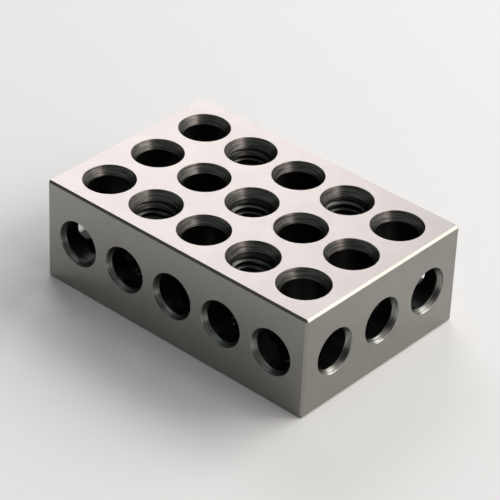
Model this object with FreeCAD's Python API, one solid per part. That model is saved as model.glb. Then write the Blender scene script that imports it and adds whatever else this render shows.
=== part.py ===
import FreeCAD, Part
import math
import os

# Machinist's setup block of the 1-2-3 pattern.
# One piece of hardened steel, ground square on all six faces to 1 x 2 x 3 inches.
# Twenty-three countersunk holes run right through it: fifteen down through the
# top, five across the long sides and three along the length.  The cross holes
# meet the vertical ones at mid height, so every hole opens into its neighbours.
# The five tapped holes are bored to the major radius of their 3/8-16 thread.
# Millimetres.  Origin: middle of the bottom face, +X along the three inch length.

INCH = 25.4                          # one inch in millimetres

# The ground block
LENGTH = 3.0 * INCH                  # along X
WIDTH = 2.0 * INCH                   # along Y
HEIGHT = 1.0 * INCH                  # along Z
EDGE_BREAK = 0.5                     # chamfer on every outside edge

# The grid of holes, counted from the middle of the block
PITCH_X = 9.0 / 16.0 * INCH          # between the five columns
PITCH_Y = 15.5                       # between the three rows
MID_HEIGHT = HEIGHT / 2.0            # level of the cross holes
COLUMNS = (-2, -1, 0, 1, 2)
ROWS = (-1, 0, 1)
TAPPED = ((-1, -1), (-1, 1), (0, 0), (1, -1), (1, 1))    # (column, row) of each

# The bores
PLAIN_R = 0.386 * INCH / 2.0         # close clearance for a 3/8 inch screw
TAPPED_R = 0.375 * INCH / 2.0        # major radius of the 3/8-16 thread

# The countersinks, one at each mouth
TOP_SINK_R = 6.1                     # mouth radius on the top and bottom faces
SIDE_SINK_R = 5.65                   # mouth radius on the four upright faces
SINK_ANGLE = 60.0                    # included angle of every countersink, degrees
OVERRUN = 1.0                        # how far each cutter stands out of the face

ALONG_X = FreeCAD.Vector(1, 0, 0)
ALONG_Y = FreeCAD.Vector(0, 1, 0)
ALONG_Z = FreeCAD.Vector(0, 0, 1)


def ground_block():
    """The plain ground block with all twelve edges broken."""
    corner = FreeCAD.Vector(-LENGTH / 2.0, -WIDTH / 2.0, 0)
    block = Part.makeBox(LENGTH, WIDTH, HEIGHT, corner)
    return block.makeChamfer(EDGE_BREAK, block.Edges)


def countersink(mouth, inward, bore_r, mouth_r):
    """The conical cutter at one mouth, wide outside the face and narrowing inward."""
    slope = math.tan(math.radians(SINK_ANGLE / 2.0))
    depth = (mouth_r - bore_r) / slope
    wide_r = mouth_r + OVERRUN * slope
    start = mouth - inward * OVERRUN
    return Part.makeCone(wide_r, bore_r, OVERRUN + depth, start, inward)


def through_hole(mouth, inward, depth, bore_r, mouth_r):
    """The cutter for one hole right through the block, countersunk at both ends."""
    start = mouth - inward * OVERRUN
    drill = Part.makeCylinder(bore_r, depth + 2.0 * OVERRUN, start, inward)
    near_sink = countersink(mouth, inward, bore_r, mouth_r)
    far_sink = countersink(mouth + inward * depth, inward * -1.0, bore_r, mouth_r)
    return [drill, near_sink, far_sink]


def vertical_holes():
    """Fifteen holes through the top: five tapped in a cross pattern, ten plain."""
    cutters = []
    for column in COLUMNS:
        for row in ROWS:
            mouth = FreeCAD.Vector(column * PITCH_X, row * PITCH_Y, 0)
            bore_r = PLAIN_R
            if (column, row) in TAPPED:
                bore_r = TAPPED_R
            cutters += through_hole(mouth, ALONG_Z, HEIGHT, bore_r, TOP_SINK_R)
    return cutters


def side_holes():
    """Five plain holes from one long side to the other, one under each column."""
    cutters = []
    for column in COLUMNS:
        mouth = FreeCAD.Vector(column * PITCH_X, -WIDTH / 2.0, MID_HEIGHT)
        cutters += through_hole(mouth, ALONG_Y, WIDTH, PLAIN_R, SIDE_SINK_R)
    return cutters


def end_holes():
    """Three plain holes along the length, one under each row."""
    cutters = []
    for row in ROWS:
        mouth = FreeCAD.Vector(-LENGTH / 2.0, row * PITCH_Y, MID_HEIGHT)
        cutters += through_hole(mouth, ALONG_X, LENGTH, PLAIN_R, SIDE_SINK_R)
    return cutters


def setup_block():
    """The finished block."""
    block = ground_block()
    for cutter in vertical_holes() + side_holes() + end_holes():
        block = block.cut(cutter)
    return block.Solids[0]


os.makedirs("parts", exist_ok=True)
setup_block().exportStep("parts/setup_block.step")
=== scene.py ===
import math

import bpy
from mathutils import Matrix, Quaternion, Vector


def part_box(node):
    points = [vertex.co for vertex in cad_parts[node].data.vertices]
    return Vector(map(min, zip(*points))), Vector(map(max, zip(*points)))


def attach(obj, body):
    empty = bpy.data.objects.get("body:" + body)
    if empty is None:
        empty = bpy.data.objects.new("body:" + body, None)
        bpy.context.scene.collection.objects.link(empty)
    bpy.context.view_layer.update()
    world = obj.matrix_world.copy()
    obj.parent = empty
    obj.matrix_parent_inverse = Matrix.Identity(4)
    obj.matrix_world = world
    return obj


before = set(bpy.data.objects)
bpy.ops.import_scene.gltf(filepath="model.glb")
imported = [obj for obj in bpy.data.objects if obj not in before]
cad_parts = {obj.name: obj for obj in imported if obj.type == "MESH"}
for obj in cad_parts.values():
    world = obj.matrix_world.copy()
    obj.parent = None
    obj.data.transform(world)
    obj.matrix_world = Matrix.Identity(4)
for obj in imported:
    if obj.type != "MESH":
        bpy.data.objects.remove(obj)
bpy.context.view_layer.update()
bpy.ops.object.select_all(action="DESELECT")


# ---------------------------------------------------------------------------
# The block
# One piece of hardened tool steel with ground faces and edges.  The countersinks
# keep the rings of their cutter, and the bores are as dark as the furnace left them.
# ---------------------------------------------------------------------------

EDGE_BREAK = 0.0005                  # chamfer along every outside edge
EDGE_BLEND = 1.4                     # where the finish of a hole may begin, in chamfers
TOP_SINK_DEPTH = 0.00207             # countersinks of the vertical holes
SIDE_SINK_DEPTH = 0.0013             # countersinks of the cross holes
MOUTH_START, MOUTH_FULL = 0.00002, 0.00012       # depth at which a hole's finish takes over
BORE_START, BORE_FULL = -0.00005, 0.00015        # the same for the bore, below its countersink

GROUND_COLOUR = (0.302, 0.296, 0.27, 1.0)
GROUND_DEEP_COLOUR = (0.289, 0.282, 0.257, 1.0)
SINK_COLOUR = (0.30, 0.30, 0.28, 1.0)
SINK_DARK_COLOUR = (0.10, 0.102, 0.094, 1.0)
BORE_COLOUR = (0.024, 0.025, 0.023, 1.0)

GROUND_ROUGHNESS = 0.31
GROUND_ROUGHNESS_SPREAD = 0.02
SINK_ROUGHNESS = 0.3
BORE_ROUGHNESS = 0.5

GRIND_STRETCH = (0.12, 1.0, 1.0)     # grinding marks run along the length
GRIND_SCALE = 5200.0
GRIND_HEIGHT = 0.06
MOTTLE_SCALE = 180.0
MARK_LOW, MARK_HIGH = 0.3, 0.7       # part of the noise that counts, on the ground faces
RING_SCALE = 5200.0
RING_WANDER = (260.0, 260.0, 260.0)  # how soon a cutter ring fades as it goes round
RING_LOW, RING_HIGH = 0.35, 0.65
MARK_BUMP = 0.35
MARK_DEPTH = 0.00006

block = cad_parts["setup_block"]
block_low, block_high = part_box("setup_block")
block_middle = (Vector(block_low) + Vector(block_high)) / 2.0
block_half = (Vector(block_high) - Vector(block_low)) / 2.0


def new_steel(name):
    """An empty metal material, and its node tree and shader."""
    material = bpy.data.materials.new(name)
    material.use_nodes = True
    tree = material.node_tree
    shader = tree.nodes["Principled BSDF"]
    shader.inputs["Metallic"].default_value = 1.0
    return material, tree, shader


def feed(tree, socket, value):
    """Joins a socket to another node's output, or writes a plain value into it."""
    if isinstance(value, bpy.types.NodeSocket):
        tree.links.new(value, socket)
    else:
        socket.default_value = value


def math_node(tree, operation, first, second=None):
    """One Math node on one or two numbers or sockets."""
    node = tree.nodes.new("ShaderNodeMath")
    node.operation = operation
    feed(tree, node.inputs[0], first)
    if second is not None:
        feed(tree, node.inputs[1], second)
    return node.outputs[0]


def vector_node(tree, operation, first, second=None):
    """One Vector Math node on one or two vectors."""
    node = tree.nodes.new("ShaderNodeVectorMath")
    node.operation = operation
    feed(tree, node.inputs[0], first)
    if second is not None:
        feed(tree, node.inputs[1], second)
    return node.outputs[0]


def split_node(tree, vector):
    """The three parts of a vector."""
    node = tree.nodes.new("ShaderNodeSeparateXYZ")
    feed(tree, node.inputs[0], vector)
    return node.outputs


def ramp(tree, value, low, high, low_result=0.0, high_result=1.0):
    """A smooth step of a value between two limits."""
    node = tree.nodes.new("ShaderNodeMapRange")
    node.interpolation_type = "SMOOTHSTEP"
    feed(tree, node.inputs["Value"], value)
    node.inputs["From Min"].default_value = low
    node.inputs["From Max"].default_value = high
    node.inputs["To Min"].default_value = low_result
    node.inputs["To Max"].default_value = high_result
    return node.outputs["Result"]


def blend_colours(tree, share, first, second):
    """A mix of two colours or colour sockets."""
    node = tree.nodes.new("ShaderNodeMix")
    node.data_type = "RGBA"
    feed(tree, node.inputs["Factor"], share)
    feed(tree, node.inputs[6], first)
    feed(tree, node.inputs[7], second)
    return node.outputs[2]


def blend_numbers(tree, share, first, second):
    """A mix of two numbers or number sockets."""
    node = tree.nodes.new("ShaderNodeMix")
    feed(tree, node.inputs[0], share)
    feed(tree, node.inputs[2], first)
    feed(tree, node.inputs[3], second)
    return node.outputs[0]


def place_on_block(tree):
    """Object coordinates, in metres."""
    return tree.nodes.new("ShaderNodeTexCoord").outputs["Object"]


def grain(tree, place, scale, detail):
    """Plain noise."""
    node = tree.nodes.new("ShaderNodeTexNoise")
    node.inputs["Scale"].default_value = scale
    node.inputs["Detail"].default_value = detail
    feed(tree, node.inputs["Vector"], place)
    return node.outputs["Fac"]


def cutter_rings(tree, place, depth):
    """Noise that changes fast with the depth and slowly round the hole."""
    node = tree.nodes.new("ShaderNodeTexNoise")
    node.noise_dimensions = "4D"
    node.inputs["Scale"].default_value = 1.0
    node.inputs["Detail"].default_value = 3.0
    feed(tree, node.inputs["Vector"], vector_node(tree, "MULTIPLY", place, RING_WANDER))
    feed(tree, node.inputs["W"], math_node(tree, "MULTIPLY", depth, RING_SCALE))
    return node.outputs["Fac"]


def steel_of_block():
    """Bright ground faces, ringed countersinks and dark bores, told apart by depth."""
    material, tree, shader = new_steel("ground_steel_block")
    place = place_on_block(tree)

    # how far a point lies below each pair of faces, and below the nearest of them
    centred = vector_node(tree, "SUBTRACT", place, tuple(block_middle))
    inset = vector_node(tree, "SUBTRACT", tuple(block_half), vector_node(tree, "ABSOLUTE", centred))
    from_end, from_side, from_top = split_node(tree, inset)
    from_wall = math_node(tree, "MINIMUM", from_end, from_side)
    depth = math_node(tree, "MINIMUM", from_wall, from_top)

    # 1 inside a hole's mouth, but not on a broken edge, where a second face is as near
    far_wall = math_node(tree, "MAXIMUM", from_end, from_side)
    second = math_node(tree, "MAXIMUM", from_wall, math_node(tree, "MINIMUM", far_wall, from_top))
    below_face = ramp(tree, depth, MOUTH_START, MOUTH_FULL)
    clear_of_edge = ramp(tree, second, EDGE_BREAK, EDGE_BREAK * EDGE_BLEND)
    in_hole = math_node(tree, "MULTIPLY", below_face, clear_of_edge)

    # 1 below the countersink, which is deeper in the two broad faces
    on_broad_face = math_node(tree, "LESS_THAN", from_top, from_wall)
    sink_depth = blend_numbers(tree, on_broad_face, SIDE_SINK_DEPTH, TOP_SINK_DEPTH)
    below_sink = math_node(tree, "SUBTRACT", depth, sink_depth)
    in_bore = ramp(tree, below_sink, BORE_START, BORE_FULL)

    # fine grinding marks over a slow mottling of the hard skin, and rings in the holes
    grind = grain(tree, vector_node(tree, "MULTIPLY", place, GRIND_STRETCH), GRIND_SCALE, 4.0)
    mottle = ramp(tree, grain(tree, place, MOTTLE_SCALE, 2.0), MARK_LOW, MARK_HIGH)
    rings = cutter_rings(tree, place, depth)

    ground = blend_colours(tree, mottle, GROUND_DEEP_COLOUR, GROUND_COLOUR)
    ring_share = ramp(tree, rings, RING_LOW, RING_HIGH)
    sink = blend_colours(tree, ring_share, SINK_DARK_COLOUR, SINK_COLOUR)
    inside = blend_colours(tree, in_bore, sink, BORE_COLOUR)
    feed(tree, shader.inputs["Base Color"], blend_colours(tree, in_hole, ground, inside))

    smoothest = GROUND_ROUGHNESS - GROUND_ROUGHNESS_SPREAD
    roughest = GROUND_ROUGHNESS + GROUND_ROUGHNESS_SPREAD
    ground_rough = ramp(tree, grind, MARK_LOW, MARK_HIGH, smoothest, roughest)
    inside_rough = blend_numbers(tree, in_bore, SINK_ROUGHNESS, BORE_ROUGHNESS)
    feed(tree, shader.inputs["Roughness"], blend_numbers(tree, in_hole, ground_rough, inside_rough))

    grind_height = math_node(tree, "MULTIPLY", grind, GRIND_HEIGHT)
    bump = tree.nodes.new("ShaderNodeBump")
    bump.inputs["Strength"].default_value = MARK_BUMP
    bump.inputs["Distance"].default_value = MARK_DEPTH
    feed(tree, bump.inputs["Height"], blend_numbers(tree, in_hole, grind_height, rings))
    feed(tree, shader.inputs["Normal"], bump.outputs["Normal"])
    return material


block.data.materials.clear()
block.data.materials.append(steel_of_block())


# ---------------------------------------------------------------------------
# The threads
# A 3/8-16 thread in five of the vertical holes, in a cross over the grid.  Each is
# one ridge wound up the bore, cleared away by the cross holes and the countersinks.
# ---------------------------------------------------------------------------

THREAD_PITCH = 0.0254 / 16.0
THREAD_OUTER_R = 0.0254 * 0.375 / 2.0 + 0.00004      # a little way into the wall of the bore
THREAD_CREST_R = 0.00402
THREAD_ROOT_WIDTH = THREAD_PITCH * 7.0 / 8.0
THREAD_CREST_WIDTH = THREAD_PITCH / 4.0
THREAD_STEPS = 48                                     # points to a turn
THREAD_SMOOTH_ANGLE = math.radians(25.0)

CROSS_HOLE_R = 0.0254 * 0.386 / 2.0 + 0.00003        # leaves no skin on the cross hole's wall
CROSS_CUT_LENGTH = 0.03
MOUTH_R = 0.0061
MOUTH_SLOPE = math.tan(math.radians(30.0))
CONE_OVERRUN = 0.001                                  # the cone starts this far outside the face
CUTTER_STEPS = 96

COLUMN_PITCH = 0.0254 * 9.0 / 16.0
ROW_PITCH = 0.0155
TAPPED_HOLES = (                                      # column, row, quarter turns of the start
    (-1, -1, 2),
    (-1, 1, 2),
    (0, 0, 0),
    (1, -1, 0),
    (1, 1, -1),
)

# painted shade darkens the thread's root and a painted highlight pales its crest
THREAD_ROOT_SHADE_COLOUR = (0.05, 0.051, 0.049, 1.0)
THREAD_CREST_HIGHLIGHT_COLOUR = (0.085, 0.085, 0.08, 1.0)
THREAD_ROUGHNESS = 0.35
ROOT_SHADE_BAND = 0.0002                                    # the root's painted shade reaches this far inward
CREST_HIGHLIGHT_BAND = 0.0001                                   # and the crest's painted highlight this far outward


def only(piece):
    """Selects one object and nothing else."""
    bpy.ops.object.select_all(action="DESELECT")
    piece.select_set(True)
    bpy.context.view_layer.objects.active = piece


def apply_modifiers(piece):
    """Applies every modifier of a piece in order."""
    only(piece)
    for modifier in list(piece.modifiers):
        bpy.ops.object.modifier_apply(modifier=modifier.name)


def carve(piece, cutter):
    """Takes the cutter's volume out of a piece and throws the cutter away."""
    modifier = piece.modifiers.new("carve", "BOOLEAN")
    modifier.operation = "DIFFERENCE"
    modifier.solver = "EXACT"
    modifier.object = cutter
    apply_modifiers(piece)
    bpy.data.objects.remove(cutter, do_unlink=True)


def wound_ridge():
    """The whole ridge about the origin's upright axis, as high as the block."""
    bpy.ops.mesh.primitive_plane_add(size=1.0, location=(0.0, 0.0, 0.0), rotation=(math.pi / 2.0, 0.0, 0.0))
    ridge = bpy.context.object
    ridge.name = "thread"
    bpy.ops.object.transform_apply(location=True, rotation=True, scale=True)

    # the square becomes the ridge's section: wide at the wall, narrow at the crest
    for corner in ridge.data.vertices:
        outward = corner.co.x > 0.0
        radius = THREAD_OUTER_R if outward else THREAD_CREST_R
        width = THREAD_ROOT_WIDTH if outward else THREAD_CREST_WIDTH
        corner.co = (radius, 0.0, math.copysign(width / 2.0, corner.co.z))
    bpy.ops.object.mode_set(mode="EDIT")
    bpy.ops.mesh.select_all(action="SELECT")
    bpy.ops.mesh.delete(type="ONLY_FACE")
    bpy.ops.object.mode_set(mode="OBJECT")

    wind = ridge.modifiers.new("wind", "SCREW")
    wind.axis = "Z"
    wind.steps = THREAD_STEPS
    wind.render_steps = THREAD_STEPS
    wind.iterations = math.ceil(block_half.z * 2.0 / THREAD_PITCH)
    wind.screw_offset = THREAD_PITCH
    wind.use_merge_vertices = False
    apply_modifiers(ridge)

    # its two open ends are filled
    bpy.ops.object.mode_set(mode="EDIT")
    bpy.ops.mesh.select_all(action="DESELECT")
    bpy.ops.mesh.select_mode(type="EDGE")
    bpy.ops.mesh.select_non_manifold()
    bpy.ops.mesh.edge_face_add()
    bpy.ops.mesh.select_all(action="SELECT")
    bpy.ops.mesh.normals_make_consistent(inside=False)
    bpy.ops.object.mode_set(mode="OBJECT")
    return ridge


def thread_ridge():
    """The ridge of one tapped hole, broken by both cross holes and opened at its mouths."""
    ridge = wound_ridge()
    for turn in ((math.pi / 2.0, 0.0, 0.0), (0.0, math.pi / 2.0, 0.0)):
        bpy.ops.mesh.primitive_cylinder_add(vertices=CUTTER_STEPS, radius=CROSS_HOLE_R,
                                            depth=CROSS_CUT_LENGTH,
                                            location=(0.0, 0.0, block_middle.z), rotation=turn)
        carve(ridge, bpy.context.object)

    # a countersinking cone opens each end, from outside the face down to its own point
    wide_r = MOUTH_R + CONE_OVERRUN * MOUTH_SLOPE
    cone_length = wide_r / MOUTH_SLOPE
    for face_height, side in ((block_low[2], -1.0), (block_high[2], 1.0)):
        outer_end = face_height + side * CONE_OVERRUN
        radii = (wide_r, 0.0) if side < 0.0 else (0.0, wide_r)
        bpy.ops.mesh.primitive_cone_add(vertices=CUTTER_STEPS, radius1=radii[0], radius2=radii[1],
                                        depth=cone_length,
                                        location=(0.0, 0.0, outer_end - side * cone_length / 2.0))
        carve(ridge, bpy.context.object)
    only(ridge)
    bpy.ops.object.shade_smooth_by_angle(angle=THREAD_SMOOTH_ANGLE)
    return ridge


def steel_of_thread():
    """Painted shade in the root and a painted highlight along the crest; every tapped hole lies on the
    grid.
    """
    material, tree, shader = new_steel("thread_steel")
    place = split_node(tree, place_on_block(tree))
    off_column = math_node(tree, "PINGPONG", place[0], COLUMN_PITCH / 2.0)
    off_row = math_node(tree, "PINGPONG", place[1], ROW_PITCH / 2.0)
    column_square = math_node(tree, "POWER", off_column, 2.0)
    row_square = math_node(tree, "POWER", off_row, 2.0)
    radius = math_node(tree, "SQRT", math_node(tree, "ADD", column_square, row_square))
    # painted highlight towards the crest, painted shade towards the root
    crest = ramp(tree, radius, THREAD_OUTER_R - ROOT_SHADE_BAND, THREAD_CREST_R + CREST_HIGHLIGHT_BAND)
    colour = blend_colours(tree, crest, THREAD_ROOT_SHADE_COLOUR, THREAD_CREST_HIGHLIGHT_COLOUR)
    feed(tree, shader.inputs["Base Color"], colour)
    shader.inputs["Roughness"].default_value = THREAD_ROUGHNESS
    return material


ridge = thread_ridge()
ridge.data.materials.append(steel_of_thread())
for column, row, quarter_turns in TAPPED_HOLES:
    thread = ridge.copy()
    thread.data = ridge.data.copy()
    thread.name = f"thread_{column + 3}_{row + 2}"
    turn = Matrix.Rotation(quarter_turns * math.pi / 2.0, 4, "Z")
    thread.data.transform(Matrix.Translation((column * COLUMN_PITCH, row * ROW_PITCH, 0.0)) @ turn)
    bpy.context.collection.objects.link(thread)
    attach(thread, "root")
bpy.data.objects.remove(ridge, do_unlink=True)


# ---------------------------------------------------------------------------
# The floor
# A plain pale sweep: a flat disc that turns up into a low wall all the way round,
# so that no horizon shows behind the block.
# ---------------------------------------------------------------------------

FLOOR_COLOUR = (0.905, 0.925, 0.925, 1.0)
FLOOR_ROUGHNESS = 0.9
FLOOR_SHINE = 0.1
FLOOR_R = 2.6
FLOOR_STEPS = 160                    # points round the rim
FLOOR_SMOOTH_ANGLE = math.radians(30.0)
COVE_R = 0.8
COVE_STEPS = 12


def sweep_floor():
    """The floor disc with its rim turned up through a quarter round."""
    bpy.ops.object.select_all(action="DESELECT")
    bpy.ops.mesh.primitive_circle_add(vertices=FLOOR_STEPS, radius=FLOOR_R, fill_type="NGON")
    floor = bpy.context.object
    floor.name = "floor"
    bpy.ops.object.mode_set(mode="EDIT")
    bpy.ops.mesh.select_mode(type="EDGE")
    bpy.ops.mesh.select_all(action="SELECT")
    bpy.ops.mesh.region_to_loop()
    radius = FLOOR_R
    height = 0.0
    for step in range(1, COVE_STEPS + 1):
        angle = math.pi / 2.0 * step / COVE_STEPS
        new_radius = FLOOR_R + COVE_R * math.sin(angle)
        new_height = COVE_R * (1.0 - math.cos(angle))
        growth = new_radius / radius
        bpy.ops.mesh.extrude_region_move(TRANSFORM_OT_translate={"value": (0.0, 0.0, new_height - height)})
        bpy.ops.transform.resize(value=(growth, growth, 1.0))
        radius = new_radius
        height = new_height
    bpy.ops.object.mode_set(mode="OBJECT")
    bpy.ops.object.shade_smooth_by_angle(angle=FLOOR_SMOOTH_ANGLE)
    return floor


floor = sweep_floor()
floor_material = bpy.data.materials.new("pale_floor")
floor_material.use_nodes = True
floor_shader = floor_material.node_tree.nodes["Principled BSDF"]
floor_shader.inputs["Base Color"].default_value = FLOOR_COLOUR
floor_shader.inputs["Roughness"].default_value = FLOOR_ROUGHNESS
floor_shader.inputs["Specular IOR Level"].default_value = FLOOR_SHINE
floor.data.materials.append(floor_material)


# ---------------------------------------------------------------------------
# The light
# Soft panels behind and beside the block, low enough for its ground top to mirror
# them, a dimmer one overhead for the floor, and a dim even room.
# ---------------------------------------------------------------------------

PANEL_DISTANCE = 1.5
ROOM_COLOUR = (0.94, 0.99, 1.0, 1.0)
ROOM_LEVEL = 0.12


def soft_panel(name, heading, height_angle, width, height, radiance, colour):
    """A square lamp facing the block; heading 0 stands behind it, on +Y, and 90 on +X."""
    lamp = bpy.data.lights.new(name, "AREA")
    lamp.shape = "RECTANGLE"
    lamp.size = width
    lamp.size_y = height
    lamp.energy = radiance * math.pi * width * height
    lamp.color = colour
    panel = bpy.data.objects.new(name, lamp)
    bpy.context.collection.objects.link(panel)
    around = math.radians(heading)
    up = math.radians(height_angle)
    toward_panel = Vector((math.sin(around) * math.cos(up), math.cos(around) * math.cos(up), math.sin(up)))
    panel.location = block_middle + toward_panel * PANEL_DISTANCE
    panel.rotation_euler = toward_panel.to_track_quat("Z", "Y").to_euler()


soft_panel("back_left_panel", -50.0, 32.0, 0.86, 0.68, 3.75, (1.0, 0.925, 0.985))
soft_panel("back_right_panel", 25.0, 38.0, 1.32, 0.87, 4.4, (1.0, 0.98, 0.935))
soft_panel("right_panel", 75.0, 40.0, 1.2, 0.9, 2.3, (1.0, 0.84, 0.80))
soft_panel("overhead_panel", 0.0, 90.0, 1.4, 1.4, 0.4, (0.84, 0.96, 1.0))

room = bpy.data.worlds.new("room")
bpy.context.scene.world = room
room.use_nodes = True
room_shader = room.node_tree.nodes["Background"]
room_shader.inputs["Color"].default_value = ROOM_COLOUR
room_shader.inputs["Strength"].default_value = ROOM_LEVEL
bpy.context.scene.view_settings.view_transform = "Standard"


# ---------------------------------------------------------------------------
# The camera
# It stands in front and to the right of the block, above it, and is tipped a
# little to one side.
# ---------------------------------------------------------------------------

CAMERA_HEADING = 40.61               # degrees round from the front
CAMERA_HEIGHT_ANGLE = 34.16
CAMERA_DISTANCE = 0.5742
CAMERA_TILT = 2.47
CAMERA_LENS = 186.0

camera_data = bpy.data.cameras.new("camera")
camera_data.lens = CAMERA_LENS
camera_data.sensor_width = 36.0
camera_data.clip_start = 0.01
camera_data.clip_end = 20.0
camera = bpy.data.objects.new("camera", camera_data)
bpy.context.collection.objects.link(camera)
around = math.radians(CAMERA_HEADING)
up = math.radians(CAMERA_HEIGHT_ANGLE)
toward_camera = Vector((math.sin(around) * math.cos(up), -math.cos(around) * math.cos(up), math.sin(up)))
camera.location = block_middle + toward_camera * CAMERA_DISTANCE
camera.rotation_mode = "QUATERNION"
tilt = Quaternion((0.0, 0.0, 1.0), math.radians(CAMERA_TILT))
camera.rotation_quaternion = toward_camera.to_track_quat("Z", "Y") @ tilt
bpy.context.scene.camera = camera
